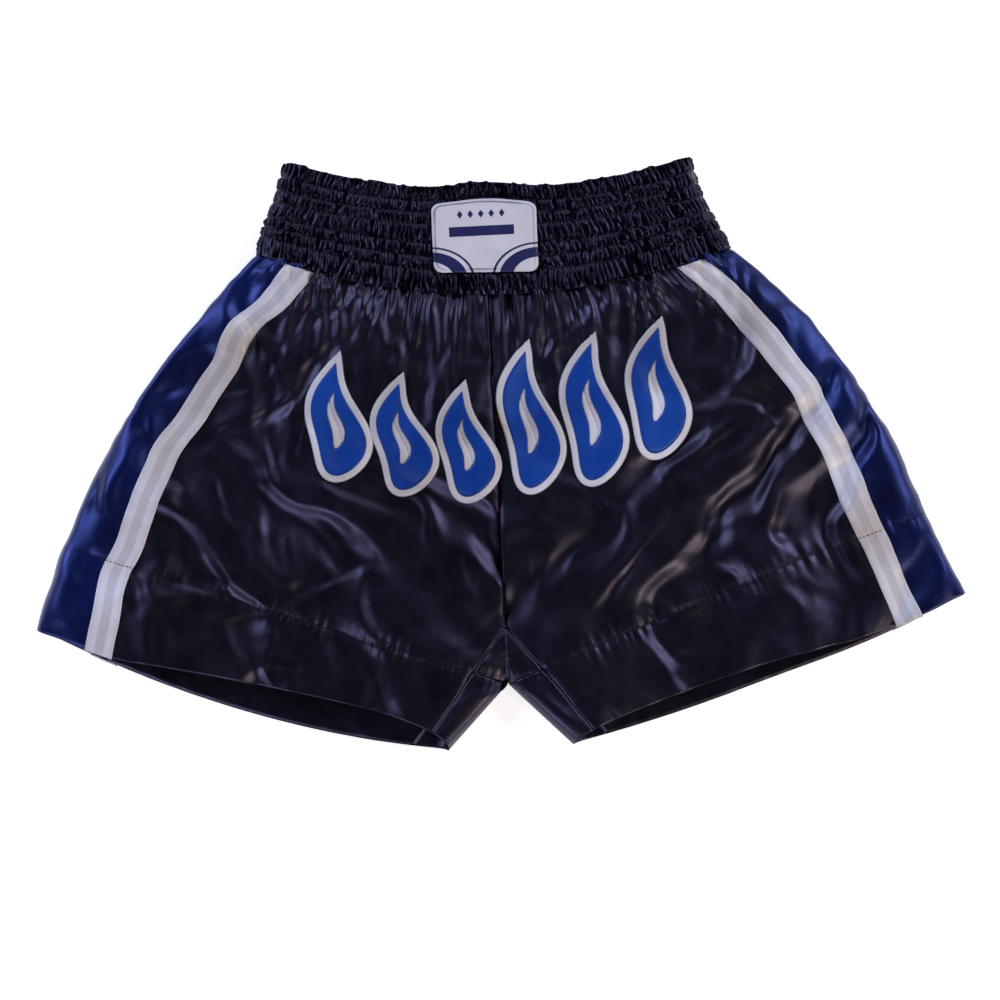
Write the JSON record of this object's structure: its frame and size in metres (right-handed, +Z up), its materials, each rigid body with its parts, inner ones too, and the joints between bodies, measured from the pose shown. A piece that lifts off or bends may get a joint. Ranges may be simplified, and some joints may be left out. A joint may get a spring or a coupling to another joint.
{
  "type": "boxing shorts",
  "caption": "Satin boxing shorts laid flat, with a gathered elastic waistband and label, side panels, tape stripes and a row of flame appliques; each hem folds up along its stitching.",
  "frame": {"origin": "on the floor, at the centre of the outline of the shorts lying on their back", "axes": "+X is the wearer's left, across the shorts; +Y runs from the hems to the waist; +Z is up, out of the front of the shorts"},
  "size_m": [0.674, 0.4299, 0.0262],
  "materials": {
    "black_satin": "black polyester satin, glossy, with cool highlights",
    "blue_satin": "royal blue polyester satin, glossy",
    "white_satin": "white satin tape and applique backing",
    "royal_satin": "royal blue satin applique",
    "elastic": "woven rubber elastic, unbleached",
    "label": "silvery woven satin label"
  },
  "bodies": {
    "hips": {"waistband_casing": "black_satin", "waistband_lining": "black_satin", "elastic_1": "elastic", "elastic_2": "elastic", "elastic_3": "elastic", "elastic_4": "elastic", "elastic_5": "elastic", "label": "label", "front_panel_left_upper": "black_satin", "side_panel_left_upper": "blue_satin", "back_panel_left_upper": "black_satin", "front_tape_left_upper": "white_satin", "back_tape_left_upper": "white_satin", "front_panel_right_upper": "black_satin", "side_panel_right_upper": "blue_satin", "back_panel_right_upper": "black_satin", "front_tape_right_upper": "white_satin", "back_tape_right_upper": "white_satin", "gusset_front": "black_satin", "gusset_back": "black_satin", "flame_backing_1": "white_satin", "flame_face_1": "royal_satin", "flame_backing_2": "white_satin", "flame_face_2": "royal_satin", "flame_backing_3": "white_satin", "flame_face_3": "royal_satin", "flame_backing_4": "white_satin", "flame_face_4": "royal_satin", "flame_backing_5": "white_satin", "flame_face_5": "royal_satin", "flame_backing_6": "white_satin", "flame_face_6": "royal_satin"},
    "left_leg": {"front_panel_left_hem": "black_satin", "side_panel_left_hem": "blue_satin", "back_panel_left_hem": "black_satin", "front_tape_left_hem": "white_satin", "back_tape_left_hem": "white_satin", "gusset_left_hem": "black_satin"},
    "right_leg": {"front_panel_right_hem": "black_satin", "side_panel_right_hem": "blue_satin", "back_panel_right_hem": "black_satin", "front_tape_right_hem": "white_satin", "back_tape_right_hem": "white_satin", "gusset_right_hem": "black_satin"}
  },
  "joints": [
    {"name": "left_hem_fold", "type": "hinge", "parent": "hips", "child": "left_leg", "pos_m": [0, -0.169, 0.0265], "axis": [-0.9397, -0.342, 0], "range_deg": [0, 165]},
    {"name": "right_hem_fold", "type": "hinge", "parent": "hips", "child": "right_leg", "pos_m": [0, -0.169, 0.0265], "axis": [-0.9397, 0.342, 0], "range_deg": [0, 165]}
  ]
}
